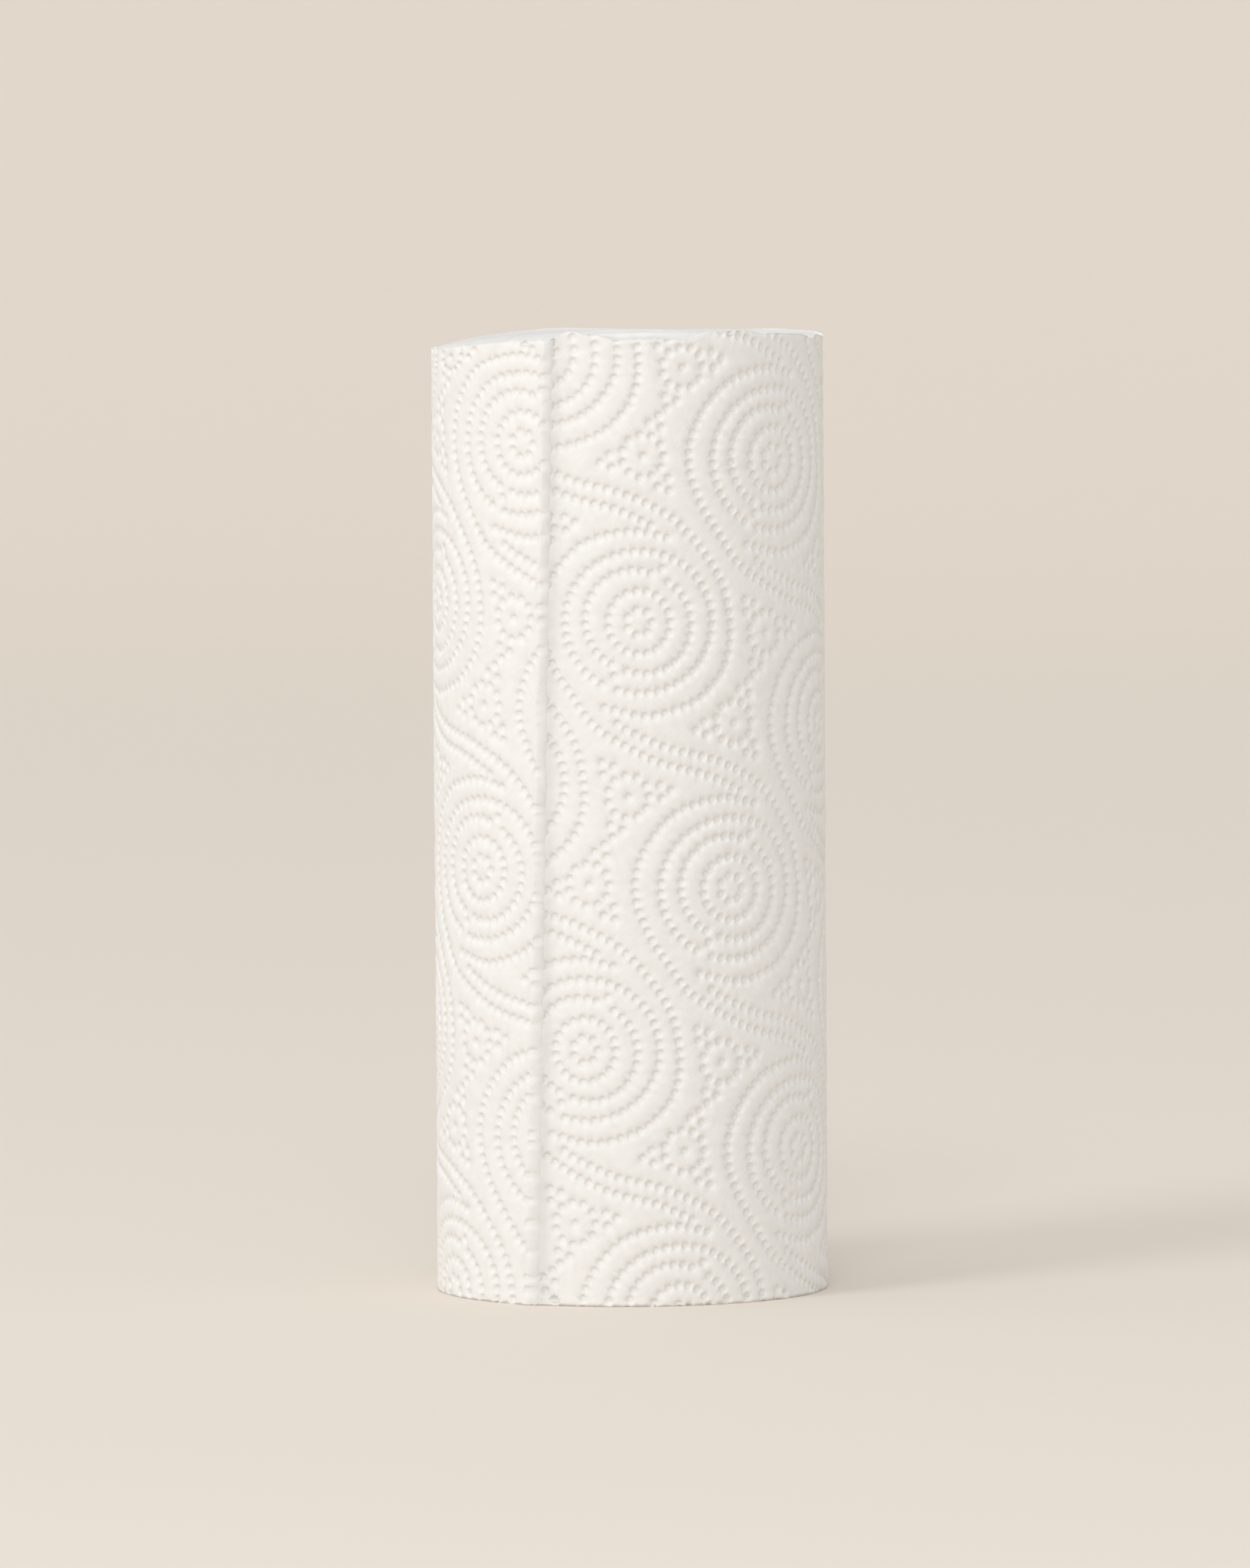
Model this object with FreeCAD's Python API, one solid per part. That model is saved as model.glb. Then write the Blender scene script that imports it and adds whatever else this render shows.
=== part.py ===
import FreeCAD, Part
import math
import os

# Paper towel roll standing on its end, in millimetres.
# The axis of the roll is Z, the lower end lies on z = 0, and the front of the roll faces -Y.
# Angles round the roll are in degrees from the front and grow towards +X.

# The wound paper
roll_height = 279.4
roll_diameter = 115.0
layer_step = 0.8

# The cardboard core
core_bore = 40.0
core_wall = 0.6

# The free edge of the last sheet, which leans to the left on its way down
free_edge_angle = -22.0
free_edge_lean = 6.2
edge_slope_top = 2.0
edge_slope_bottom = 3.3

# The turns, as they show in the two sawn ends
turn_pitch = 5.2
turn_gap_width = 0.9
turn_gap_depth = 0.7
turn_margin = 2.4
turn_chord_angle = 12.0

# The slump of the top end at the left
slump_start = -20.0
slump_radius = 190.0

# The embossed motifs: a groove of straight chords round each, on a lattice over the flat paper.
# A step is given as distance to the right and upwards.
ring_radius = 15.4
ring_chords = 10
ring_groove_width = 2.4
emboss_depth = 0.5
first_motif_across = 2.9
first_motif_height = 197.5
step_right_up = (44.6, 46.2)
step_right_down = (27.9, -77.2)

# Across the back the lattice is drawn in, so that it meets the free edge as it should
back_start = 75.0
back_end = 285.0
back_drawn_in = 25.8
back_rise = 5.6

# The row of perforations between the last sheet and the one before it
sheet_length = 229.0
perforation_width = 0.6
perforation_depth = 0.3

# Room that a cutting solid is given past the surface that it opens
cut_room = 3.0
seam_room = 2.0
open_side_angle = 10.0

# How many steps of the lattice are tried each way to cover the roll
lattice_steps = range(-12, 13)

outer_radius = roll_diameter / 2
core_radius = core_bore / 2 + core_wall
centre_shift = layer_step / 4
seam_angle = free_edge_angle + math.degrees(seam_room / outer_radius)
round_roll = 2 * math.pi * outer_radius
seam_across = math.radians(seam_angle) * outer_radius


def toward(angle):
    """Unit vector that points from the axis towards an angle round the roll."""
    turn = math.radians(angle)
    return FreeCAD.Vector(math.sin(turn), -math.cos(turn), 0)


def on_circle(centre, radius, angle):
    """Point of a level circle at an angle round the roll."""
    return centre + toward(angle) * radius


def arc(centre, radius, start, end):
    """Edge along a level circle from one angle to another."""
    middle = (start + end) / 2
    points = [on_circle(centre, radius, angle) for angle in (start, middle, end)]
    return Part.Arc(*points).toShape()


def prism(edges, height):
    """Solid over a closed outline."""
    return Part.Face(Part.Wire(edges)).extrude(FreeCAD.Vector(0, 0, height))


def spiral_centres():
    """The two centres that the half turns of the paper are struck from in turn."""
    shift = toward(seam_angle) * centre_shift
    return shift, shift * -1


def wound_body(depth=0.0):
    """The roll as one turn of a spiral: it closes in by one layer and steps back out."""
    near, far = spiral_centres()
    big = outer_radius - depth
    small = big - 2 * centre_shift
    half = seam_angle - 180
    full = seam_angle - 360
    step = Part.LineSegment(on_circle(far, small, full), on_circle(near, big, seam_angle))
    edges = [arc(near, big, seam_angle, half), arc(far, small, half, full), step.toShape()]
    return prism(edges, roll_height)


def strip_over_lower_sheet():
    """What lies outside the lower sheet, where the free edge of the upper one runs over it."""
    near = spiral_centres()[0]
    inner = outer_radius - layer_step
    outer = outer_radius + cut_room
    width = free_edge_lean + edge_slope_bottom + 3 * seam_room
    left = seam_angle - math.degrees(width / outer_radius)
    left_side = Part.LineSegment(on_circle(near, inner, left), on_circle(near, outer, left))
    right_side = Part.LineSegment(on_circle(near, outer, seam_angle), on_circle(near, inner, seam_angle))
    edges = [
        arc(near, inner, seam_angle, left),
        left_side.toShape(),
        arc(near, outer, left, seam_angle),
        right_side.toShape(),
    ]
    return prism(edges, roll_height)


def edge_section(angle, slope, height):
    """Outline, at one height, of what is open to the right of the free edge."""
    near = spiral_centres()[0]
    foot = on_circle(near, outer_radius - layer_step, angle)
    crest = on_circle(near, outer_radius, angle - math.degrees(slope / outer_radius))
    slant = crest - foot
    side = seam_angle + open_side_angle
    corners = [foot - slant * 2, crest + slant * 2]
    corners.append(on_circle(near, outer_radius + 3 * cut_room, side))
    corners.append(on_circle(near, outer_radius - 3 * cut_room, side))
    lifted = [corner + FreeCAD.Vector(0, 0, height) for corner in corners]
    return Part.makePolygon(lifted + lifted[:1])


def free_edge_cut():
    """What the last sheet lacks: its margin slopes down to the lower sheet at the free edge."""
    lean = math.degrees(free_edge_lean / outer_radius)
    sections = [
        edge_section(free_edge_angle - lean, edge_slope_bottom, 0.0),
        edge_section(free_edge_angle, edge_slope_top, roll_height),
    ]
    wedge = Part.makeLoft(sections, True, True)
    return strip_over_lower_sheet().common(wedge)


def on_wound_paper(across, height):
    """Where a point of the lattice comes on the roll, once the back has drawn it in."""
    start = math.radians(back_start) * outer_radius
    end = math.radians(back_end) * outer_radius
    share = (across - start) / (end - start + back_drawn_in)
    share = min(max(share, 0.0), 1.0)
    return across - share * back_drawn_in, height + share * back_rise


def motif_places(reach):
    """Places of the motifs that show, as distance across the paper and height."""
    start = seam_across - reach
    end = seam_across + round_roll + reach
    places = []
    for i in lattice_steps:
        for j in lattice_steps:
            across = first_motif_across + i * step_right_up[0] + j * step_right_down[0]
            height = first_motif_height + i * step_right_up[1] + j * step_right_down[1]
            across, height = on_wound_paper(across, height)
            if start < across < end and -reach < height < roll_height + reach:
                places.append((across, height))
    return places


def chord_ring(radius, start, way):
    """Solid with a ring of straight chords as its outline, that runs outwards from a point."""
    side = way.cross(FreeCAD.Vector(0, 0, 1))
    corners = []
    for i in range(ring_chords):
        turn = 2 * math.pi * i / ring_chords
        up = FreeCAD.Vector(0, 0, radius * math.sin(turn))
        corners.append(start + side * (radius * math.cos(turn)) + up)
    return Part.Face(Part.makePolygon(corners + corners[:1])).extrude(way * outer_radius)


def beside_seam(turn):
    """The half of space that begins at the seam and goes round by a half turn."""
    size = 2 * outer_radius
    half = Part.makeBox(size, 2 * size, 3 * roll_height)
    half.translate(FreeCAD.Vector(0, -size, -roll_height))
    half.rotate(FreeCAD.Vector(0, 0, 0), FreeCAD.Vector(0, 0, 1), seam_angle + turn)
    return half


def embossing():
    """Shallow ring groove of every motif, each only on the sheet that carries it."""
    tools = []
    reach = ring_radius + ring_groove_width
    for across, height in motif_places(reach):
        way = toward(math.degrees(across / outer_radius))
        start = way * (outer_radius / 2) + FreeCAD.Vector(0, 0, height)
        groove = chord_ring(ring_radius + ring_groove_width / 2, start, way)
        groove = groove.cut(chord_ring(ring_radius - ring_groove_width / 2, start, way))
        if across < seam_across + reach:
            groove = groove.common(beside_seam(0.0))
        if across > seam_across + round_roll - reach:
            groove = groove.common(beside_seam(180.0))
        tools.extend(groove.Solids)
    return Part.makeCompound(tools).cut(wound_body(emboss_depth))


def perforation():
    """Fine groove where the last sheet will tear off the one before it."""
    angle = free_edge_angle - math.degrees(sheet_length / outer_radius)
    deep = outer_radius + centre_shift
    slot = Part.makeBox(perforation_width, deep + cut_room, roll_height)
    slot.translate(FreeCAD.Vector(-perforation_width / 2, 0, 0))
    slot.rotate(FreeCAD.Vector(0, 0, 0), FreeCAD.Vector(0, 0, 1), angle + 180)
    return slot.cut(wound_body(perforation_depth))


def above_top_end():
    """What lies over the top end: level, then falling away in an arc to the left."""
    reach = outer_radius + cut_room
    top = roll_height
    run = slump_start + reach
    drop = slump_radius - math.sqrt(slump_radius ** 2 - run ** 2)
    half_run = slump_radius * math.sin(math.asin(run / slump_radius) / 2)
    half_drop = slump_radius - math.sqrt(slump_radius ** 2 - half_run ** 2)
    start = FreeCAD.Vector(slump_start, -reach, top)
    middle = FreeCAD.Vector(slump_start - half_run, -reach, top - half_drop)
    left = FreeCAD.Vector(-reach, -reach, top - drop)
    left_high = FreeCAD.Vector(-reach, -reach, top + reach)
    right_high = FreeCAD.Vector(reach, -reach, top + reach)
    right = FreeCAD.Vector(reach, -reach, top)
    edges = [Part.Arc(left, middle, start).toShape()]
    for first, second in ((start, right), (right, right_high), (right_high, left_high), (left_high, left)):
        edges.append(Part.LineSegment(first, second).toShape())
    return Part.Face(Part.Wire(edges)).extrude(FreeCAD.Vector(0, 2 * reach, 0))


def turn_gaps():
    """Upright spiral wall of air between the turns, from the free edge inwards."""
    radius = outer_radius - layer_step - turn_margin
    angle = seam_angle
    outside = []
    inside = []
    while radius - turn_gap_width > core_radius + turn_margin:
        outside.append(toward(angle) * radius)
        inside.append(toward(angle) * (radius - turn_gap_width))
        angle -= turn_chord_angle
        radius -= turn_pitch * turn_chord_angle / 360
    outline = outside + inside[::-1] + outside[:1]
    return Part.Face(Part.makePolygon(outline)).extrude(FreeCAD.Vector(0, 0, roll_height))


def wound_towels():
    """The wound paper as one solid, with its free edge, embossing, turns and slump."""
    paper = wound_body().cut(embossing())
    paper = paper.cut(perforation())
    paper = paper.cut(free_edge_cut())
    paper = paper.cut(Part.makeCylinder(core_radius, roll_height))
    air_above = above_top_end()
    paper = paper.cut(air_above)
    gaps = turn_gaps()
    upper = air_above.copy()
    upper.translate(FreeCAD.Vector(0, 0, -turn_gap_depth))
    lower = Part.makeCylinder(roll_diameter, turn_gap_depth)
    paper = paper.cut(gaps.common(upper))
    return paper.cut(gaps.common(lower))


def core_tube():
    """The spiral-wound cardboard tube that the paper is wound and glued on."""
    tube = Part.makeCylinder(core_radius, roll_height)
    return tube.cut(Part.makeCylinder(core_bore / 2, roll_height))


os.makedirs("parts", exist_ok=True)
wound_towels().exportStep("parts/wound_towels.step")
core_tube().exportStep("parts/core_tube.step")
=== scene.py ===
import math

import bmesh
import bpy
import numpy as np
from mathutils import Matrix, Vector, kdtree
from mathutils.geometry import delaunay_2d_cdt


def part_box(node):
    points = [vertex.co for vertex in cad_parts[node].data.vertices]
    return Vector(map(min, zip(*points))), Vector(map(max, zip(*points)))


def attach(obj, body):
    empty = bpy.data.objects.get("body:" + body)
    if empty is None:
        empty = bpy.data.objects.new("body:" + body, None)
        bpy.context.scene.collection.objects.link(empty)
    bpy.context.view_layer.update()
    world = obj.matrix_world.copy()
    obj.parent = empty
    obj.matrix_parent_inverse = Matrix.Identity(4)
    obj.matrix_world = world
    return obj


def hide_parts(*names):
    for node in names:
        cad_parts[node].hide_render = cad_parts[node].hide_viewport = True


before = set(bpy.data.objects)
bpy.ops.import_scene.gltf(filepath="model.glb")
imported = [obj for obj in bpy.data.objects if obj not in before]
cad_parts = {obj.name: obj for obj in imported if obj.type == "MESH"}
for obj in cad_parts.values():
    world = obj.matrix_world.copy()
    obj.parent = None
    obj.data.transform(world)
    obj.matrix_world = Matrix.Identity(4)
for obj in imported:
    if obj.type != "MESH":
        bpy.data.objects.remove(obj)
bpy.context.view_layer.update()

# The camera looks at the roll from far off and a little from above, with a long lens.
# Distances and heights are in metres; the view takes in PICTURE_HEIGHT at the roll's own distance.
CAMERA_DISTANCE = 3.45
CAMERA_HEIGHT = 0.357
LOOK_HEIGHT = 0.1477
PICTURE_HEIGHT = 0.4585
ROLL_SIDESTEP = 0.0003
CAMERA_ROLL = math.radians(0.35)
SENSOR = 36.0

pitch = math.atan2(CAMERA_HEIGHT - LOOK_HEIGHT, CAMERA_DISTANCE)
reach = math.hypot(CAMERA_DISTANCE, CAMERA_HEIGHT - LOOK_HEIGHT)
camera_data = bpy.data.cameras.new("camera")
camera_data.sensor_fit = "VERTICAL"
camera_data.sensor_height = SENSOR
camera_data.lens = SENSOR * reach / PICTURE_HEIGHT
camera = bpy.data.objects.new("camera", camera_data)
bpy.context.scene.collection.objects.link(camera)
camera.location = (-ROLL_SIDESTEP, -CAMERA_DISTANCE, CAMERA_HEIGHT)
camera.rotation_euler = (math.pi / 2 - pitch, CAMERA_ROLL, 0)
bpy.context.scene.camera = camera


# The floor is a sweep of pale painted board with no grain of its own. It lies flat under the roll,
# rises far behind it in one soft curve, and has painted light there: its colour is made paler where the lamps
# reach it less.
FLOOR_HALF = 7.0
FLOOR_FRONT = -7.0
SWEEP_START = 4.4
SWEEP_RADIUS = 1.6
SWEEP_HEIGHT = 3.0
SWEEP_STEPS = 24
FLOOR_COLOUR = (0.80, 0.735, 0.655, 1)
FLOOR_ROUGHNESS = 0.9
# Painted light: from here to the back the floor's colour is scaled up, to this factor at the end.
PAINTED_LIGHT_FROM = -0.4
PAINTED_LIGHT_TO = 4.4
PAINTED_LIGHT_PALER = 1.2


def plain_material(name, colour, roughness):
    """A new material with its shader's colour and roughness set."""
    material = bpy.data.materials.new(name)
    material.use_nodes = True
    shader = material.node_tree.nodes["Principled BSDF"]
    shader.inputs["Base Color"].default_value = colour
    shader.inputs["Roughness"].default_value = roughness
    return material, shader


def floor_paint_and_painted_light():
    """Matt paint with painted light: its colour is made paler with the distance behind the roll."""
    material, shader = plain_material("floor_paint_and_painted_light", FLOOR_COLOUR, FLOOR_ROUGHNESS)
    nodes = material.node_tree.nodes
    links = material.node_tree.links
    place = nodes.new("ShaderNodeTexCoord")
    split = nodes.new("ShaderNodeSeparateXYZ")
    # Painted light: the paint's colour is scaled up with the distance behind the roll.
    painted_light = nodes.new("ShaderNodeMapRange")
    painted_light.inputs["From Min"].default_value = PAINTED_LIGHT_FROM
    painted_light.inputs["From Max"].default_value = PAINTED_LIGHT_TO
    painted_light.inputs["To Min"].default_value = 1.0
    painted_light.inputs["To Max"].default_value = PAINTED_LIGHT_PALER
    paint = nodes.new("ShaderNodeVectorMath")
    paint.operation = "SCALE"
    paint.inputs["Vector"].default_value = FLOOR_COLOUR[:3]
    links.new(place.outputs["Object"], split.inputs["Vector"])
    links.new(split.outputs["Y"], painted_light.inputs["Value"])
    links.new(painted_light.outputs["Result"], paint.inputs["Scale"])
    links.new(paint.outputs["Vector"], shader.inputs["Base Color"])
    return material


bpy.ops.object.select_all(action="DESELECT")
bpy.ops.mesh.primitive_plane_add(size=1.0, location=(0, (FLOOR_FRONT + SWEEP_START) / 2, 0))
floor = bpy.context.object
floor.name = "floor"
floor.scale = (2 * FLOOR_HALF, SWEEP_START - FLOOR_FRONT, 1)
bpy.ops.object.transform_apply(location=True, rotation=True, scale=True)
bpy.ops.object.mode_set(mode="EDIT")
bpy.ops.mesh.select_all(action="DESELECT")
floor_shape = bmesh.from_edit_mesh(floor.data)
for vertex in floor_shape.verts:
    vertex.select = vertex.co.y > 0
floor_shape.select_flush(True)
bmesh.update_edit_mesh(floor.data)
bpy.ops.mesh.spin(
    steps=SWEEP_STEPS,
    angle=-math.pi / 2,
    center=(0, SWEEP_START, SWEEP_RADIUS),
    axis=(1, 0, 0),
)
bpy.ops.mesh.extrude_region_move(TRANSFORM_OT_translate={"value": (0, 0, SWEEP_HEIGHT - SWEEP_RADIUS)})
bpy.ops.object.mode_set(mode="OBJECT")
bpy.ops.object.shade_smooth()
floor.data.materials.append(floor_paint_and_painted_light())


# The light is soft: a broad lamp high at the front left, a weaker one high in front, and a pale room
# that is brighter at the left. A lamp is given by its angle round the roll, its height angle, its
# size in metres and its power in watts.
LAMPS = (
    ("key_lamp", -46.0, 38.0, 1.3, 32.0),
    ("front_lamp", -4.0, 36.0, 1.4, 26.0),
)
LAMP_DISTANCE = 4.0
ROOM_LEFT = 0.84
ROOM_RIGHT = 0.615


def add_lamp(name, azimuth, rise, size, power):
    """A round lamp that shines at the middle of the roll."""
    side, up = math.radians(azimuth), math.radians(rise)
    way = Vector((math.cos(up) * math.sin(side), -math.cos(up) * math.cos(side), math.sin(up)))
    lamp_data = bpy.data.lights.new(name, "AREA")
    lamp_data.shape = "DISK"
    lamp_data.size = size
    lamp_data.energy = power
    lamp = bpy.data.objects.new(name, lamp_data)
    lamp.location = Vector((0, 0, LOOK_HEIGHT)) + way * LAMP_DISTANCE
    lamp.rotation_euler = (-way).to_track_quat("-Z", "Y").to_euler()
    bpy.context.scene.collection.objects.link(lamp)


for lamp_values in LAMPS:
    add_lamp(*lamp_values)

room = bpy.data.worlds.new("room")
room.use_nodes = True
room_nodes = room.node_tree.nodes
direction = room_nodes.new("ShaderNodeTexCoord")
split_direction = room_nodes.new("ShaderNodeSeparateXYZ")
strength = room_nodes.new("ShaderNodeMapRange")
strength.inputs["From Min"].default_value = -1.0
strength.inputs["From Max"].default_value = 1.0
strength.inputs["To Min"].default_value = ROOM_LEFT
strength.inputs["To Max"].default_value = ROOM_RIGHT
room.node_tree.links.new(direction.outputs["Generated"], split_direction.inputs["Vector"])
room.node_tree.links.new(split_direction.outputs["X"], strength.inputs["Value"])
room.node_tree.links.new(strength.outputs["Result"], room_nodes["Background"].inputs["Strength"])
room_nodes["Background"].inputs["Color"].default_value = (1, 1, 1, 1)
bpy.context.scene.world = room
bpy.context.scene.view_settings.view_transform = "Standard"


# The two sheets on the outer turn are soft white two-ply tissue, pressed full of small round dots by
# an embossing roller. The web is wound on the core and torn off at rows of small cuts, and the free
# edge of the last sheet is glued down.

# Lengths are in millimetres over the flat paper from here on, x to the right from the front of the
# roll and y up.
# Each motif of the embossing has a rosette, three rings, two winding chains and two dot clusters.
# The bends of the chains and the clusters' places are given from its centre, in steps of CHAIN_UNIT.
DOT_SPACING = 3.0
DOT_NEAREST = 2.15
ROSETTE_DOTS = 7
ROSETTE_RADIUS = 3.75
INNER_RING_DOTS = 19
INNER_RING_RADIUS = 9.15
MIDDLE_RING_ARCS = ((76, 236, 14.6, 16.1), (53, -105, 14.4, 15.7))
MIDDLE_RING_SINGLES = ((6.8, 15.4), (-7.4, -15.4))
OUTER_RING_ENDS = (238, -108)
OUTER_RING_RADIUS = 21.25
OUTER_RING_OVAL = 0.8
ARC_STEPS = 400
CURVE_STEPS = 12
CHAIN_UNIT = 0.1471
RIGHT_CHAIN = (
    (-260, 359), (-233, 326), (-198, 306), (-133, 278), (-63, 261), (-3, 241), (72, 200),
    (134, 134), (176, 66), (191, -20), (176, -92), (125, -148), (62, -175), (5, -183), (-70, -166),
)
LEFT_CHAIN = (
    (57, 165), (0, 178), (-60, 172), (-118, 150), (-168, 100), (-197, 40), (-200, -15), (-185, -62),
    (-166, -102), (-141, -137), (-96, -198), (-38, -237), (27, -270), (72, -285), (127, -298),
    (162, -310), (214, -335),
)
CLUSTERS = (((280, -27), 8), ((199, -200), 68))
CLUSTER_DOTS = 11
CLUSTER_RADIUS = 6.15
CLUSTER_TIPS = 3
TIP_DOTS = ((9.8, -0.2), (9.8, 0.2), (12.6, 0.0))


def evenly(line):
    """Points DOT_SPACING apart, or nearly so, along a finely divided line."""
    lengths = np.concatenate([[0], np.cumsum(np.linalg.norm(np.diff(line, axis=0), axis=1))])
    stops = np.linspace(0, lengths[-1], max(2, round(lengths[-1] / DOT_SPACING) + 1))
    return np.stack([np.interp(stops, lengths, line[:, k]) for k in (0, 1)], axis=1)


def circle_row(count, radius):
    """Dots spread evenly round a circle."""
    turns = [math.tau * k / count for k in range(count)]
    return [(radius * math.cos(turn), radius * math.sin(turn)) for turn in turns]


def arc_row(first, last, low, high):
    """Dots along an arc, in degrees, whose radius is low at its ends and high in its middle."""
    angles = np.radians(np.linspace(first, last, ARC_STEPS))
    shares = [(math.degrees(angle) - first) / (last - first) for angle in angles]
    radii = np.array([low + (high - low) * math.sin(math.pi * share) for share in shares])
    return evenly(np.stack([radii * np.cos(angles), radii * np.sin(angles)], axis=1))


def oval_row(first, last, radius, oval):
    """Dots along an arc, in degrees, that is wider across than it is high."""
    angles = np.radians(np.linspace(first, last, ARC_STEPS))
    radii = np.array([radius + oval * math.cos(2 * angle) for angle in angles])
    return evenly(np.stack([radii * np.cos(angles), radii * np.sin(angles)], axis=1))


def chain_row(bends):
    """Dots along a smooth curve through the bends of a chain."""
    points = np.array(bends, dtype=float) * CHAIN_UNIT
    padded = np.vstack([2 * points[0] - points[1], points, 2 * points[-1] - points[-2]])
    line = []
    for a, b, c, d in zip(padded, padded[1:], padded[2:], padded[3:]):
        for t in np.linspace(0, 1, CURVE_STEPS, endpoint=False):
            even = 2 * b + (c - a) * t
            bent = (2 * a - 5 * b + 4 * c - d) * t**2
            line.append(0.5 * (even + bent + (3 * b - a - 3 * c + d) * t**3))
    line.append(points[-1])
    return evenly(np.array(line))


def cluster(centre, tip_angle):
    """A centre dot in a ring, with short tips of three dots."""
    dots = [(0.0, 0.0)] + circle_row(CLUSTER_DOTS, CLUSTER_RADIUS)
    for k in range(CLUSTER_TIPS):
        tip = math.radians(tip_angle + 360 / CLUSTER_TIPS * k)
        for radius, turn in TIP_DOTS:
            dots.append((radius * math.cos(tip + turn), radius * math.sin(tip + turn)))
    return np.array(dots) + np.array(centre) * CHAIN_UNIT


def motif():
    """Every dot of one motif, about its centre."""
    rows = [
        np.array(circle_row(ROSETTE_DOTS, ROSETTE_RADIUS)),
        np.array(circle_row(INNER_RING_DOTS, INNER_RING_RADIUS)),
    ]
    rows += [arc_row(*arc) for arc in MIDDLE_RING_ARCS]
    rows.append(np.array(MIDDLE_RING_SINGLES))
    rows.append(oval_row(*OUTER_RING_ENDS, OUTER_RING_RADIUS, OUTER_RING_OVAL))
    rows += [chain_row(RIGHT_CHAIN), chain_row(LEFT_CHAIN)]
    rows += [cluster(*place) for place in CLUSTERS]
    return np.vstack(rows)


# The motifs stand on a lattice over the web, which closes in by one layer a turn from its free edge.
# Round the back the dots are drawn together a little, so that they meet the free edge in step.
ROLL_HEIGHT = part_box("wound_towels")[1][2] * 1000
CORE_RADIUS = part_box("core_tube")[1][0] * 1000
OUTER_RADIUS = 57.4
LAYER_STEP = 0.8
FREE_EDGE_ANGLE = -22.0
FREE_EDGE_LEAN = 6.2
SHEET_LENGTH = 229.0
STEP_RIGHT_UP = (44.6, 46.2)
STEP_RIGHT_DOWN = (27.9, -77.2)
FIRST_MOTIF = (2.9, 197.5)
LATTICE_STEPS = range(-12, 13)
LATTICE_LEFT = -120.0
LATTICE_RIGHT = 460.0
MOTIF_REACH = 90.0
BACK_START = 75.0
BACK_END = 285.0
BACK_DRAWN_IN = 25.8
BACK_RISE = 5.6
COVERED_DOTS = 20.0
CUT_DOTS = 2.0
CELL = 3

round_roll = math.tau * OUTER_RADIUS
edge_across = math.radians(FREE_EDGE_ANGLE) * OUTER_RADIUS + round_roll
perforation_across = edge_across - SHEET_LENGTH


def on_wound_paper(dots):
    """Lattice places as places on the roll: distance across from the front, and height."""
    start = math.radians(BACK_START) * OUTER_RADIUS
    end = math.radians(BACK_END) * OUTER_RADIUS
    share = np.clip((dots[:, 0] - start) / (end - start + BACK_DRAWN_IN), 0, 1)
    return np.stack([dots[:, 0] - share * BACK_DRAWN_IN, dots[:, 1] + share * BACK_RISE], axis=1)


def lattice_dots():
    """The dots of every motif that can reach the outer turn."""
    one = motif()
    dots = []
    for i in LATTICE_STEPS:
        for j in LATTICE_STEPS:
            shift = np.array(FIRST_MOTIF) + i * np.array(STEP_RIGHT_UP) + j * np.array(STEP_RIGHT_DOWN)
            in_height = -MOTIF_REACH < shift[1] < ROLL_HEIGHT + MOTIF_REACH
            if LATTICE_LEFT < shift[0] < LATTICE_RIGHT and in_height:
                dots.append(one + shift)
    return on_wound_paper(np.vstack(dots))


def spaced_dots(dots):
    """The dots without those that would run into an earlier one."""
    cells = {}
    kept = []
    for x, y in dots:
        column, row = int(x // CELL), int(y // CELL)
        near = []
        for beside in (column - 1, column, column + 1):
            for level in (row - 1, row, row + 1):
                near += cells.get((beside, level), [])
        if all((x - u) ** 2 + (y - v) ** 2 > DOT_NEAREST**2 for u, v in near):
            cells.setdefault((column, row), []).append((x, y))
            kept.append((x, y))
    return np.array(kept)


dots = lattice_dots()
on_turn = (dots[:, 0] > edge_across - round_roll - COVERED_DOTS) & (dots[:, 0] < edge_across + CUT_DOTS)
on_turn &= (dots[:, 1] > -CUT_DOTS) & (dots[:, 1] < ROLL_HEIGHT + CUT_DOTS)
dots = spaced_dots(dots[on_turn])
dot_tree = kdtree.KDTree(len(dots))
for index, (x, y) in enumerate(dots):
    dot_tree.insert((x, y, 0), index)
dot_tree.balance()

# The tissue is matt, with leaning fibres and soft wrinkles, and has painted shade along the free edge: a grey
# band in its colour that stands in for the shadow of the edge's step.
# Lengths in a material are in metres.
PAPER_THIN = (0.855, 0.842, 0.815, 1)
PAPER_THICK = (0.905, 0.894, 0.87, 1)
PAPER_ROUGHNESS = 0.92
PAPER_SPECULAR = 0.25
PAPER_SHEEN = 0.12
PAPER_SHEEN_ROUGHNESS = 0.6
PAPER_GLOW = 0.1
PAPER_GLOW_RADIUS = (0.0006, 0.0005, 0.0004)
FIBRE_LEAN = math.radians(48)
FIBRE_SCALE = (450, 2300, 900)
FIBRE_DETAIL = 3.0
WRINKLE_STRETCH = (0.6, 1, 1)
WRINKLE_SCALE = 170.0
WRINKLE_DETAIL = 2.0
WRINKLE_SHARE = 2.2
GRAIN_HEIGHT = 0.0001
CLOUD_SCALE = 300.0
CLOUD_DETAIL = 4.0
SHADE_FROM = 0.3
SHADE_TO = 0.7
# Painted shade along the free edge: how much darker the colour gets, where the band's middle lies and how
# wide it is.
PAINTED_SEAM_SHADE = 0.12
PAINTED_SHADE_CENTRE = 0.0002
PAINTED_SHADE_WIDTH = 0.0024


def math_node(nodes, operation, first, second=None):
    """A math node fed by sockets or numbers; returns its output."""
    node = nodes.new("ShaderNodeMath")
    node.operation = operation
    for socket, value in zip(node.inputs, (first, second)):
        if isinstance(value, (int, float)):
            socket.default_value = value
        elif value is not None:
            nodes.id_data.links.new(value, socket)
    return node.outputs["Value"]


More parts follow.
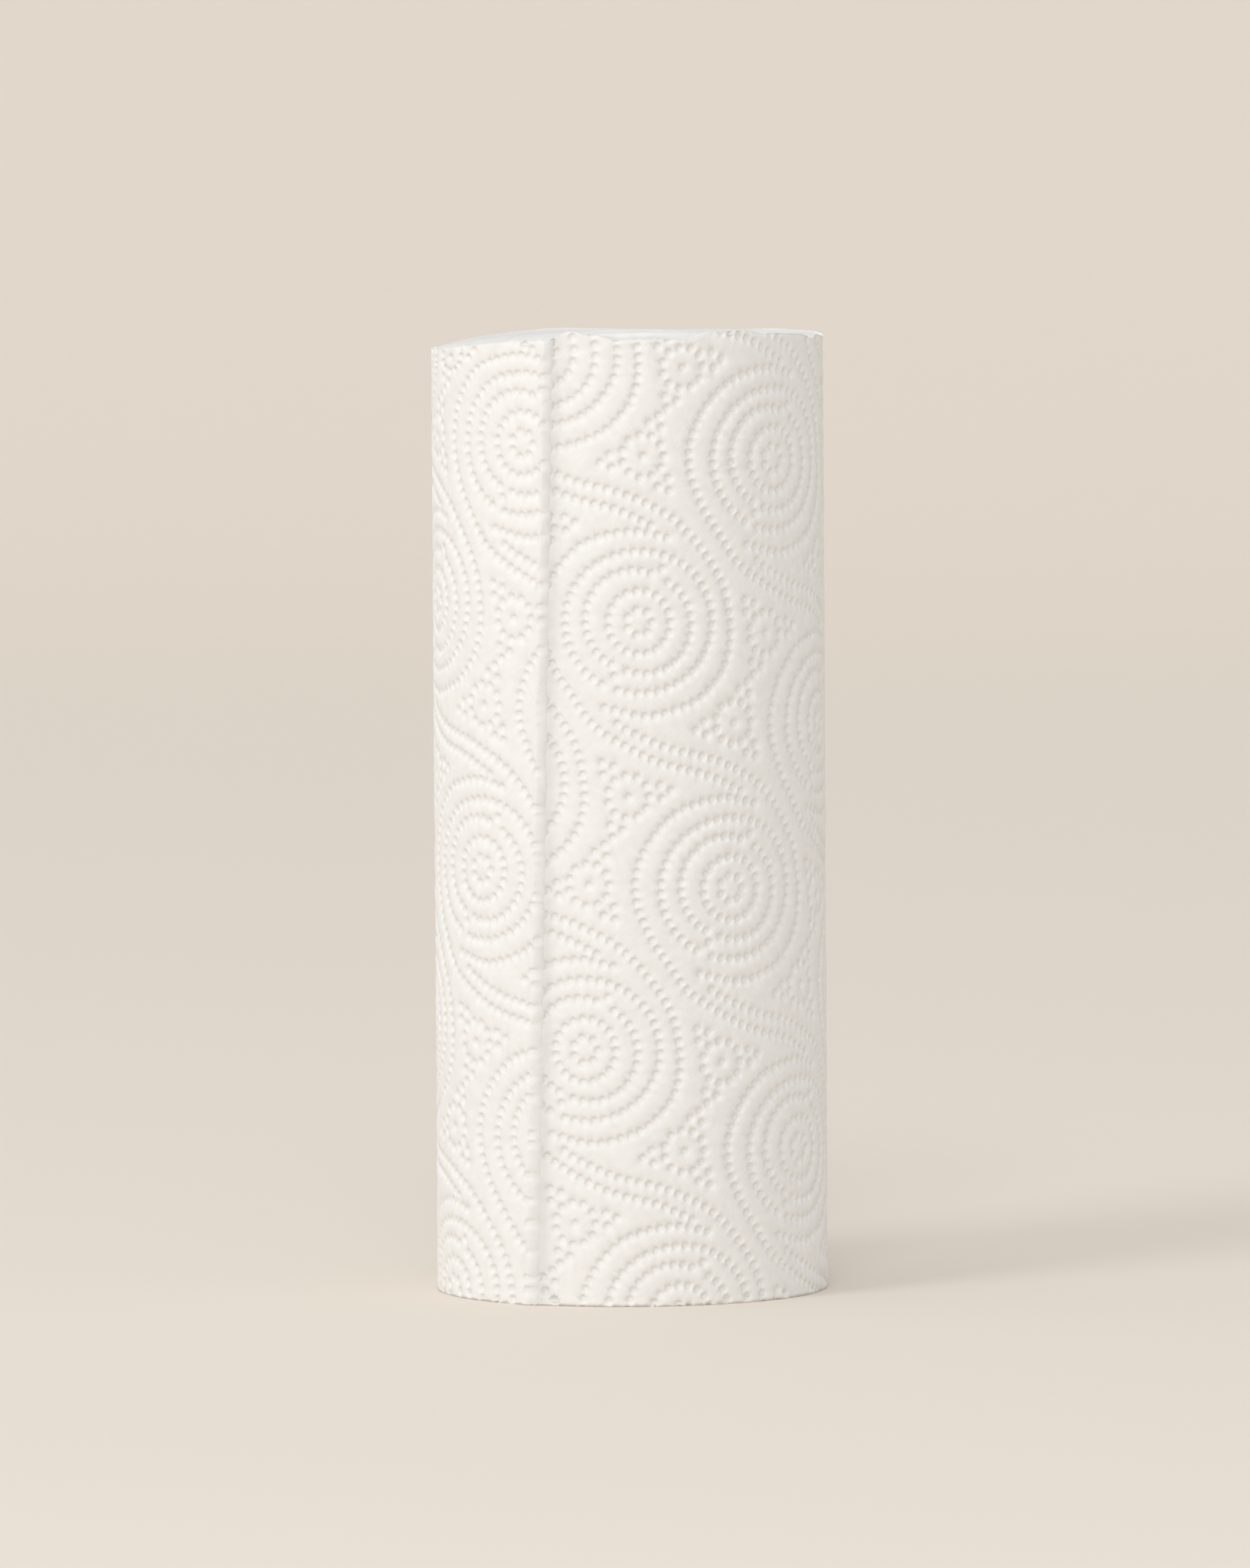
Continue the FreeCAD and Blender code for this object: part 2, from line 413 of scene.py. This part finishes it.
def wrapped_place(nodes):
    """Object coordinates unrolled from the roll: distance round it, height, distance from the axis."""
    place = nodes.new("ShaderNodeTexCoord")
    split = nodes.new("ShaderNodeSeparateXYZ")
    nodes.id_data.links.new(place.outputs["Object"], split.inputs["Vector"])
    x, y, z = split.outputs
    around = math_node(nodes, "ARCTAN2", x, math_node(nodes, "MULTIPLY", y, -1.0))
    squares = math_node(nodes, "ADD", math_node(nodes, "POWER", x, 2.0), math_node(nodes, "POWER", y, 2.0))
    joined = nodes.new("ShaderNodeCombineXYZ")
    nodes.id_data.links.new(math_node(nodes, "MULTIPLY", around, OUTER_RADIUS / 1000), joined.inputs["X"])
    nodes.id_data.links.new(z, joined.inputs["Y"])
    nodes.id_data.links.new(math_node(nodes, "SQRT", squares), joined.inputs["Z"])
    return joined.outputs["Vector"]


def noise(nodes, place, scale, detail):
    """A noise texture over a place socket; returns its value."""
    texture = nodes.new("ShaderNodeTexNoise")
    texture.inputs["Scale"].default_value = scale
    texture.inputs["Detail"].default_value = detail
    nodes.id_data.links.new(place, texture.inputs["Vector"])
    return texture.outputs["Fac"]


def mapped(nodes, place, rotation=(0, 0, 0), scale=(1, 1, 1)):
    """A place socket scaled, then turned."""
    mapping = nodes.new("ShaderNodeMapping")
    mapping.inputs["Rotation"].default_value = rotation
    mapping.inputs["Scale"].default_value = scale
    nodes.id_data.links.new(place, mapping.inputs["Vector"])
    return mapping.outputs["Vector"]


def shades(nodes, value, low, high):
    """A colour between two, by a value between SHADE_FROM and SHADE_TO."""
    ramp = nodes.new("ShaderNodeValToRGB")
    ramp.color_ramp.elements[0].position = SHADE_FROM
    ramp.color_ramp.elements[0].color = low
    ramp.color_ramp.elements[1].position = SHADE_TO
    ramp.color_ramp.elements[1].color = high
    nodes.id_data.links.new(value, ramp.inputs["Fac"])
    return ramp.outputs["Color"]


def bumped(nodes, height, distance, shader):
    """Gives a shader a bump from a height socket."""
    bump = nodes.new("ShaderNodeBump")
    bump.inputs["Distance"].default_value = distance
    nodes.id_data.links.new(height, bump.inputs["Height"])
    nodes.id_data.links.new(bump.outputs["Normal"], shader.inputs["Normal"])


def painted_seam_shade(nodes, place):
    """Factor on the paper's colour that paints shade: a little darker in a band along the free edge, for the
    shadow of its step.
    """
    split = nodes.new("ShaderNodeSeparateXYZ")
    nodes.id_data.links.new(place, split.inputs["Vector"])
    foot = (edge_across - round_roll - FREE_EDGE_LEAN) / 1000 + PAINTED_SHADE_CENTRE
    edge = math_node(nodes, "MULTIPLY", split.outputs["Y"], FREE_EDGE_LEAN / ROLL_HEIGHT)
    past = math_node(nodes, "SUBTRACT", math_node(nodes, "SUBTRACT", split.outputs["X"], edge), foot)
    square = math_node(nodes, "POWER", math_node(nodes, "DIVIDE", past, PAINTED_SHADE_WIDTH), 2.0)
    fading = math_node(nodes, "EXPONENT", math_node(nodes, "MULTIPLY", square, -1.0))
    return math_node(nodes, "SUBTRACT", 1.0, math_node(nodes, "MULTIPLY", fading, PAINTED_SEAM_SHADE))


def tissue_material(name, with_painted_shade):
    """White tissue: leaning fibres, soft wrinkles, a faint cloudiness and, if asked, painted shade along the
    free edge.
    """
    material, shader = plain_material(name, PAPER_THICK, PAPER_ROUGHNESS)
    shader.inputs["Specular IOR Level"].default_value = PAPER_SPECULAR
    shader.inputs["Sheen Weight"].default_value = PAPER_SHEEN
    shader.inputs["Sheen Roughness"].default_value = PAPER_SHEEN_ROUGHNESS
    shader.inputs["Subsurface Weight"].default_value = PAPER_GLOW
    shader.inputs["Subsurface Radius"].default_value = PAPER_GLOW_RADIUS
    shader.inputs["Subsurface Scale"].default_value = 1.0
    nodes = material.node_tree.nodes
    links = material.node_tree.links
    place = wrapped_place(nodes)
    turned = mapped(nodes, place, rotation=(0, 0, -FIBRE_LEAN))
    fibres = noise(nodes, mapped(nodes, turned, scale=FIBRE_SCALE), 1.0, FIBRE_DETAIL)
    wrinkles = noise(nodes, mapped(nodes, turned, scale=WRINKLE_STRETCH), WRINKLE_SCALE, WRINKLE_DETAIL)
    height = math_node(nodes, "ADD", fibres, math_node(nodes, "MULTIPLY", wrinkles, WRINKLE_SHARE))
    bumped(nodes, height, GRAIN_HEIGHT, shader)
    cloud = noise(nodes, place, CLOUD_SCALE, CLOUD_DETAIL)
    tone = nodes.new("ShaderNodeVectorMath")
    tone.operation = "SCALE"
    tone.inputs["Scale"].default_value = 1.0
    links.new(shades(nodes, cloud, PAPER_THIN, PAPER_THICK), tone.inputs["Vector"])
    # Painted shade: the colour is made darker in a band along the free edge.
    if with_painted_shade:
        links.new(painted_seam_shade(nodes, place), tone.inputs["Scale"])
    links.new(tone.outputs["Vector"], shader.inputs["Base Color"])
    return material


# A pressed dot is a small pit with a flat bottom, and the paper stands up softly between the rows.
DOT_DEPTH = 0.62
PIT_RADII = (0.0, 1.04, 1.22, 1.38, 1.6)
PIT_DEPTHS = (1.0, 0.97, 0.48, 0.09, 0.0)
PILLOW = 0.15
PILLOW_REACH = 2.5


def relief(x, y):
    """Height of the paper over its pressed level: dots go in and pillows stand up."""
    distance, next_distance = [near[2] for near in dot_tree.find_n((x, y, 0), 2)]
    share = np.interp(distance, PIT_RADII, PIT_DEPTHS) + np.interp(next_distance, PIT_RADII, PIT_DEPTHS)
    pressed = -DOT_DEPTH * min(share, 1.0)
    rise = min(max((distance - PIT_RADII[-1]) / (PILLOW_REACH - PIT_RADII[-1]), 0.0), 1.0)
    return pressed + PILLOW * rise * rise * (3 - 2 * rise)


# The free edge leans to the left on its way down. The last 2 to 3 mm of the last sheet bend down to
# the sheet below, which swells a little along the edge and sinks away where it is covered.
EDGE_SLOPE_TOP = 2.0
EDGE_SLOPE_BOTTOM = 3.3
EDGE_TUCK = 0.4
EDGE_SUNK = 0.9
EDGE_WAVES = ((3.1, 0.5), (7.3, 0.35), (17.0, 0.3), (41.0, 0.2))
EDGE_PHASE = 1.7
EDGE_RAGGED = 0.16
EDGE_AT_DOT = 0.8
EDGE_AT_DOT_REACH = 2.2
CREST_RISE = 1.4
CREST_REACH = 7.0
COVERED_WIDTH = 12.0
HIDDEN_START = 1.2
HIDDEN_SLOPE = 3.0
HIDDEN_DROP = 1.2
SWELL = 0.8
SWELL_REACH = 2.0


def edge_line(y):
    """Distance across to the free edge at a height."""
    return edge_across - FREE_EDGE_LEAN * (1 - y / ROLL_HEIGHT)


def tucked_edge(y):
    """Distance across to where the last sheet ends, tucked into the one below."""
    return edge_line(y) + EDGE_TUCK


def covered_edge(y):
    """Distance across to where the lower sheet begins, well under the last one."""
    return edge_line(y) - round_roll - COVERED_WIDTH


def edge_slope(y):
    """Width of the bent margin at a height, ragged where rows of dots cross it."""
    width = EDGE_SLOPE_BOTTOM + (EDGE_SLOPE_TOP - EDGE_SLOPE_BOTTOM) * y / ROLL_HEIGHT
    distance = dot_tree.find((edge_line(y) - width, y, 0))[2]
    wander = 0.0
    for k, (length, size) in enumerate(EDGE_WAVES):
        wander += size * math.sin(y / length + EDGE_PHASE * (1 + k))
    return width * (1 + EDGE_RAGGED * wander) + EDGE_AT_DOT * max(0.0, 1 - distance / EDGE_AT_DOT_REACH)


def lower_height(x, y):
    """Height of the sheet that the free edge lies on."""
    past = x - (edge_line(y) - round_roll)
    covered = min(max((-past - HIDDEN_START) / HIDDEN_SLOPE, 0.0), 1.0)
    return relief(x, y) + SWELL * math.exp(-abs(past) / SWELL_REACH) - HIDDEN_DROP * covered


def margin_height(x, y):
    """Height of the last sheet: near its free edge a slight crest, then the bent margin."""
    width = edge_slope(y)
    crest = edge_line(y) - width
    if x <= crest:
        return relief(x, y) + CREST_RISE * max(0.0, 1 - (crest - x) / CREST_REACH) ** 2
    share = min((x - crest) / width, 1.0)
    tucked = max((x - edge_line(y)) / EDGE_TUCK, 0.0)
    return (relief(crest, y) + CREST_RISE) * (1 - share) + share * (SWELL - LAYER_STEP) - tucked * EDGE_SUNK


# The perforation between the two sheets: short cuts with narrow ties left between them.
PERFORATION_HALF = 0.6
PERFORATION_DIP = 0.35
PERFORATION_CUT = 0.01
TIE_PITCH = 4.8
TIE_WIDTH = 1.3


def perforation_dip(x, y):
    """How far the paper is drawn in beside the cuts of the perforation."""
    share = 1 - abs(x - perforation_across) / PERFORATION_HALF
    return 0.0 if share <= 0 or y % TIE_PITCH < TIE_WIDTH else PERFORATION_DIP * share


def after_perforation(y):
    """Distance across to where the last sheet begins, at every height."""
    return perforation_across + PERFORATION_CUT


def before_perforation(y):
    """Distance across to where the sheet before it ends, at every height."""
    return perforation_across - PERFORATION_CUT


# At the left the top end has slumped in a long curve, and the rim of the outer turn is wavy.
# A wave is given by its angle round the roll, its rise and its spread in degrees.
SLUMP_START = -20.0
SLUMP_RADIUS = 190.0
RIM_BAND = 12.0
RIM_WAVES = (
    (-17.0, 1.9, 4.0), (-9.0, 0.9, 5.0), (-2.0, -1.0, 5.0), (15.0, -0.6, 7.0), (24.0, 1.2, 3.0),
    (34.0, 1.7, 9.0), (52.0, 0.5, 10.0), (69.0, -1.2, 4.0), (88.0, -1.1, 9.0), (130.0, 0.4, 9.0),
    (160.0, -0.5, 8.0), (200.0, 0.5, 12.0), (250.0, -0.4, 11.0),
)
LAST_RIM = -0.5
LAST_RIM_REACH = 60.0


def slump(side):
    """How far the top end has sunk at a distance to the side."""
    run = np.clip(SLUMP_START - side, 0, None)
    return SLUMP_RADIUS - np.sqrt(SLUMP_RADIUS**2 - run**2)


def rim_wave(angle):
    """How far the rim of the outer turn stands above the end."""
    return sum(size * math.exp(-((angle - middle) / spread) ** 2) for middle, size, spread in RIM_WAVES)


def wound_point(x, y, height):
    """Place in metres of a point of the paper: x across, y up, height over the pressed level."""
    radius = OUTER_RADIUS - LAYER_STEP * (edge_across - x) / round_roll + height
    turn = x / OUTER_RADIUS
    side = radius * math.sin(turn)
    share = min(max((y - ROLL_HEIGHT + RIM_BAND) / RIM_BAND, 0.0), 1.0)
    hidden = min(max((edge_across - round_roll - x) / HIDDEN_SLOPE, 0.0), 1.0)
    if x > edge_across - LAST_RIM_REACH:
        wave = LAST_RIM
    else:
        wave = rim_wave(math.degrees(turn)) * (1 - hidden) + (LAST_RIM - HIDDEN_DROP) * hidden
    z = y + share * share * (3 - 2 * share) * (wave - float(slump(side)))
    return (side / 1000, -radius * math.cos(turn) / 1000, z / 1000)


# A sheet gets its points where its shape needs them, so that every dot is round: on rings about each
# dot, on even rows in the free paper, and close together along the borders, the cuts and the seam.
# Its borders are folded inwards. MERGE_DISTANCE is in metres.
FRONT_RINGS = (1.04, 1.22, 1.38, 1.58)
FRONT_SIDES = 9
BACK_RINGS = (1.06, 1.38)
BACK_SIDES = 7
BACK_FROM = math.radians(112) * OUTER_RADIUS
BACK_TO = math.radians(258) * OUTER_RADIUS
NEAR_SHEET = 15.0
MIDDLE_ROOM = 0.05
RING_ROOM = 0.25
RING_OVERLAP = 0.02
FREE_GAP = 2.2
FREE_ROW_RISE = 0.87
FREE_ROOM = 0.5
FREE_ROW_ROOM = 0.6
FREE_FROM_DOT = 2.0
BORDER_GAP = 0.8
END_GAP = 1.2
CUT_START = 0.3
CUT_GAP = 0.65
CUT_ROOM = 0.1
SEAM_GAP = 0.6
MARGIN_SHARES = (-0.3, -0.06, 0.06, 0.45, 0.9)
SWELL_COLUMNS = (-1.2, -0.5, 0.0, 0.5, 1.2, 2.2, 3.4)
FACE_ROOM = 0.02
SAME_POINT = 1e-5
EDGE_FOLD = 0.9
EDGE_DROP = 0.8
LEVEL_SHARE = 0.6
MERGE_DISTANCE = 1e-7


def is_inside(x, y, first, last, room):
    """Whether a point lies in a sheet, with room to its borders."""
    return first(y) + room < x < last(y) - room and room < y < ROLL_HEIGHT - room


def dot_points(first, last):
    """Points at the dots of a sheet: each one's middle, and rings about it."""
    points = []
    near = (dots[:, 0] > first(0) - NEAR_SHEET) & (dots[:, 0] < last(ROLL_HEIGHT) + NEAR_SHEET)
    for x, y in dots[near]:
        if is_inside(x, y, first, last, MIDDLE_ROOM):
            points.append((x, y))
        at_back = BACK_FROM < x < BACK_TO
        sides = BACK_SIDES if at_back else FRONT_SIDES
        for ring, radius in enumerate(BACK_RINGS if at_back else FRONT_RINGS):
            for k in range(sides):
                turn = math.tau * (k + 0.5 * (ring % 2)) / sides
                u, v = x + radius * math.cos(turn), y + radius * math.sin(turn)
                if not is_inside(u, v, first, last, RING_ROOM):
                    continue
                if dot_tree.find((u, v, 0))[2] > radius - RING_OVERLAP:
                    points.append((u, v))
    return points


def free_points(first, last):
    """Points of the paper between the dots, in staggered rows."""
    points = []
    row = 0
    y = FREE_GAP / 2
    while y < ROLL_HEIGHT:
        x = first(y) + FREE_GAP * (0.5 + 0.5 * (row % 2))
        while x < last(y) - FREE_ROW_ROOM:
            if is_inside(x, y, first, last, FREE_ROOM) and dot_tree.find((x, y, 0))[2] > FREE_FROM_DOT:
                points.append((x, y))
            x += FREE_GAP
        y += FREE_GAP * FREE_ROW_RISE
        row += 1
    return points


def border_points(first, last):
    """Points along the four borders of a sheet and along the cuts of the perforation."""
    points = []
    for y in np.linspace(0.0, ROLL_HEIGHT, int(ROLL_HEIGHT / BORDER_GAP)):
        points += [(first(y), y), (last(y), y)]
    for y in np.arange(CUT_START, ROLL_HEIGHT, CUT_GAP):
        for x in (perforation_across - PERFORATION_HALF, perforation_across + PERFORATION_HALF):
            if is_inside(x, y, first, last, CUT_ROOM):
                points.append((x, y))
    for y in (0.0, ROLL_HEIGHT):
        count = int((last(y) - first(y)) / END_GAP)
        points += [(x, y) for x in np.linspace(first(y), last(y), count)[1:-1]]
    return points


def seam_points(free):
    """Columns of points along the free edge: in the bent margin, or in the swollen sheet below."""
    points = []
    for y in np.linspace(0, ROLL_HEIGHT, int(ROLL_HEIGHT / SEAM_GAP)):
        if free:
            width = edge_slope(y)
            points += [(edge_line(y) - width * (1 - share), y) for share in MARGIN_SHARES]
        else:
            points += [(edge_line(y) - round_roll + past, y) for past in SWELL_COLUMNS]
    return points


def paper_sheet(first, last, free):
    """Points and faces of one sheet between two lines; free says that it has the free edge."""
    flat = dot_points(first, last) + free_points(first, last)
    flat += border_points(first, last) + seam_points(free)
    places, _, triangles, _, _, _ = delaunay_2d_cdt([Vector(p) for p in flat], [], [], 0, SAME_POINT)
    shape = margin_height if free else lower_height
    points = []
    for x, y in places:
        points.append(wound_point(x, y, shape(x, y) - perforation_dip(x, y)))
    faces = []
    for a, b, c in triangles:
        middle = (places[a] + places[b] + places[c]) / 3
        if first(middle.y) - FACE_ROOM < middle.x < last(middle.y) + FACE_ROOM:
            faces.append((a, c, b))
    return points, faces


def lies_level(edge):
    """Whether an edge runs along one of the two ends of the roll."""
    first, second = (vertex.co for vertex in edge.verts)
    return abs(second.z - first.z) < LEVEL_SHARE * (second - first).length


def folded_mesh(name, points, faces):
    """A sheet's mesh with every border folded inwards, so that it has a thickness at its edges."""
    mesh = bpy.data.meshes.new(name)
    mesh.from_pydata(points, [], faces)
    shape = bmesh.new()
    shape.from_mesh(mesh)
    bmesh.ops.remove_doubles(shape, verts=shape.verts, dist=MERGE_DISTANCE)
    for face in shape.faces:
        face.smooth = True
    rim = [edge for edge in shape.edges if edge.is_boundary]
    grown = bmesh.ops.extrude_edge_only(shape, edges=rim)
    inner = [part for part in grown["geom"] if isinstance(part, bmesh.types.BMVert)]
    level = [v for v in inner if any(lies_level(edge) for edge in v.link_edges if edge.is_boundary)]
    for vertex in level:
        vertex.co.z -= math.copysign(EDGE_DROP / 1000, vertex.co.z - ROLL_HEIGHT / 2000)
    for vertex in inner:
        share = 1 - EDGE_FOLD / 1000 / math.hypot(vertex.co.x, vertex.co.y)
        vertex.co.x *= share
        vertex.co.y *= share
    for part in grown["geom"]:
        if isinstance(part, bmesh.types.BMFace):
            part.smooth = False
    bmesh.ops.recalc_face_normals(shape, faces=shape.faces)
    shape.to_mesh(mesh)
    shape.free()
    return mesh


def paper_piece(name, mesh, material):
    """The finished object of a mesh of paper."""
    mesh.materials.append(material)
    piece = bpy.data.objects.new(name, mesh)
    bpy.context.scene.collection.objects.link(piece)
    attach(piece, "root")
    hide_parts("wound_towels")


# The outer sheets get painted shade along the free edge; the sawn ends do not.
tissue = tissue_material("tissue", with_painted_shade=True)
sawn_tissue = tissue_material("sawn_tissue", with_painted_shade=False)
last_sheet = paper_sheet(after_perforation, tucked_edge, free=True)
sheet_before = paper_sheet(covered_edge, before_perforation, free=False)
paper_piece("last_sheet", folded_mesh("last_sheet", *last_sheet), tissue)
paper_piece("sheet_before", folded_mesh("sheet_before", *sheet_before), tissue)


# The two sawn ends of the wound towels, where every turn of the one long web shows as a fine ridge.
# A saw cuts them through soft paper, so the turns stand unevenly, and some are pushed up behind the
# front of the upper rim. At the rim an end bends down under the fold of the outer turn.
TURN_PITCH = 0.54
RIDGE = 0.22
END_STEPS = 180
LOOSE_SPREAD = 0.1
BROAD_WAVE = 0.12
BROAD_LOBES = 3
FINE_WAVE = 0.08
FINE_LOBES = 7
FINE_DRIFT = 1.7
RAISED_HEIGHT = 2.4
RAISED_RADIUS = 46.0
RAISED_WIDTH = 9.0
RAISED_ANGLE = 4.0
RAISED_SPREAD = 34.0
RIM_REACH = 2.5
END_ROOM = 0.5
END_BORDER = 1.2
TOP_SUNK = 0.1
BOTTOM_SUNK = 0.5
TOP_SEED = 7
BOTTOM_SEED = 8


def top_height(angle, radius, outer):
    """How far a turn stands out of the top end: near the rim like the rim, behind it pushed up."""
    near_rim = math.exp(-((outer - radius) / RIM_REACH) ** 2)
    margin = FREE_EDGE_ANGLE - math.degrees(LAST_RIM_REACH / OUTER_RADIUS)
    rim = LAST_RIM if margin < angle < FREE_EDGE_ANGLE else rim_wave(angle if angle > margin else angle + 360)
    across = math.exp(-((radius - RAISED_RADIUS) / RAISED_WIDTH) ** 2)
    round_it = math.exp(-((angle - RAISED_ANGLE) / RAISED_SPREAD) ** 2)
    return near_rim * rim + (1 - near_rim) * RAISED_HEIGHT * across * round_it


def end_points(at_top, rings, loose):
    """Points of one end, ring by ring inwards along the spiral, in metres."""
    points = []
    for k in range(rings):
        for i in range(END_STEPS):
            share = i / END_STEPS
            angle = FREE_EDGE_ANGLE - 360 * share
            turn = math.radians(angle)
            outer = OUTER_RADIUS - LAYER_STEP * share - END_ROOM
            spiral = k + share if 0 < k < rings - 1 else k
            radius = outer - (outer - CORE_RADIUS) * spiral / (rings - 1)
            side = radius * math.sin(turn)
            layer = (k + share) / 2
            out = float(np.interp(layer, range(len(loose)), loose)) - (RIDGE if k % 2 else 0.0)
            out += BROAD_WAVE * math.sin(BROAD_LOBES * turn + layer)
            out += FINE_WAVE * math.sin(FINE_LOBES * turn - FINE_DRIFT * layer)
            out -= (TOP_SUNK if at_top else BOTTOM_SUNK) + (0.0 if k else END_BORDER)
            if at_top:
                out += top_height((angle + 180) % 360 - 180, radius, outer) - float(slump(side))
            z = ROLL_HEIGHT + out if at_top else -out
            points.append((side / 1000, -radius * math.cos(turn) / 1000, z / 1000))
    return points


def end_mesh(name, at_top, seed):
    """One end of the wound paper, as a spiral of ridges with its sunken and loose turns."""
    rng = np.random.default_rng(seed)
    turns = int((OUTER_RADIUS - LAYER_STEP - CORE_RADIUS) / TURN_PITCH)
    loose = rng.normal(0, LOOSE_SPREAD, turns + 2)
    rings = 2 * turns + 1
    faces = []
    for k in range(rings - 1):
        for i in range(END_STEPS):
            a = k * END_STEPS + i
            b = k * END_STEPS + (i + 1) % END_STEPS
            quad = (a, a + END_STEPS, b + END_STEPS, b)
            faces.append(quad if at_top else quad[::-1])
    mesh = bpy.data.meshes.new(name)
    mesh.from_pydata(end_points(at_top, rings, loose), [], faces)
    mesh.update()
    mesh.polygons.foreach_set("use_smooth", [True] * len(mesh.polygons))
    return mesh


paper_piece("top_turns", end_mesh("top_turns", True, TOP_SEED), sawn_tissue)
paper_piece("bottom_turns", end_mesh("bottom_turns", False, BOTTOM_SEED), sawn_tissue)


# The core is a tube of grey-brown board that the web is wound and glued on. It is made from strips
# glued over each other round a bar, so their joint runs round it as a helix.
BOARD_DARK = (0.33, 0.235, 0.15, 1)
BOARD_LIGHT = (0.47, 0.35, 0.235, 1)
BOARD_ROUGHNESS = 0.85
BOARD_FIBRES = (260, 1500, 1500)
BOARD_DETAIL = 4.0
BOARD_GRAIN = 0.00008
JOINT_RISE = 0.105
JOINT_WIDTH = 0.008
JOINT_DEPTH = 0.0003
JOINT_SHADE = 0.3


def core_material():
    """Matt board with short fibres and the sunken joint of the strips."""
    material, shader = plain_material("core_board", BOARD_LIGHT, BOARD_ROUGHNESS)
    nodes = material.node_tree.nodes
    links = material.node_tree.links
    place = wrapped_place(nodes)
    split = nodes.new("ShaderNodeSeparateXYZ")
    links.new(place, split.inputs["Vector"])
    turns = math_node(nodes, "DIVIDE", split.outputs["X"], math.tau * OUTER_RADIUS / 1000)
    climb = math_node(nodes, "DIVIDE", split.outputs["Y"], JOINT_RISE)
    phase = math_node(nodes, "FRACT", math_node(nodes, "ADD", turns, climb))
    joint = math_node(nodes, "LESS_THAN", phase, JOINT_WIDTH)
    fibres = noise(nodes, mapped(nodes, place, scale=BOARD_FIBRES), 1.0, BOARD_DETAIL)
    sunk = math_node(nodes, "MULTIPLY", joint, -JOINT_DEPTH / BOARD_GRAIN)
    bumped(nodes, math_node(nodes, "ADD", fibres, sunk), BOARD_GRAIN, shader)
    shade = math_node(nodes, "SUBTRACT", fibres, math_node(nodes, "MULTIPLY", joint, JOINT_SHADE))
    links.new(shades(nodes, shade, BOARD_DARK, BOARD_LIGHT), shader.inputs["Base Color"])
    return material


core = bpy.data.objects["core_tube"]
core.data.materials.clear()
core.data.materials.append(core_material())
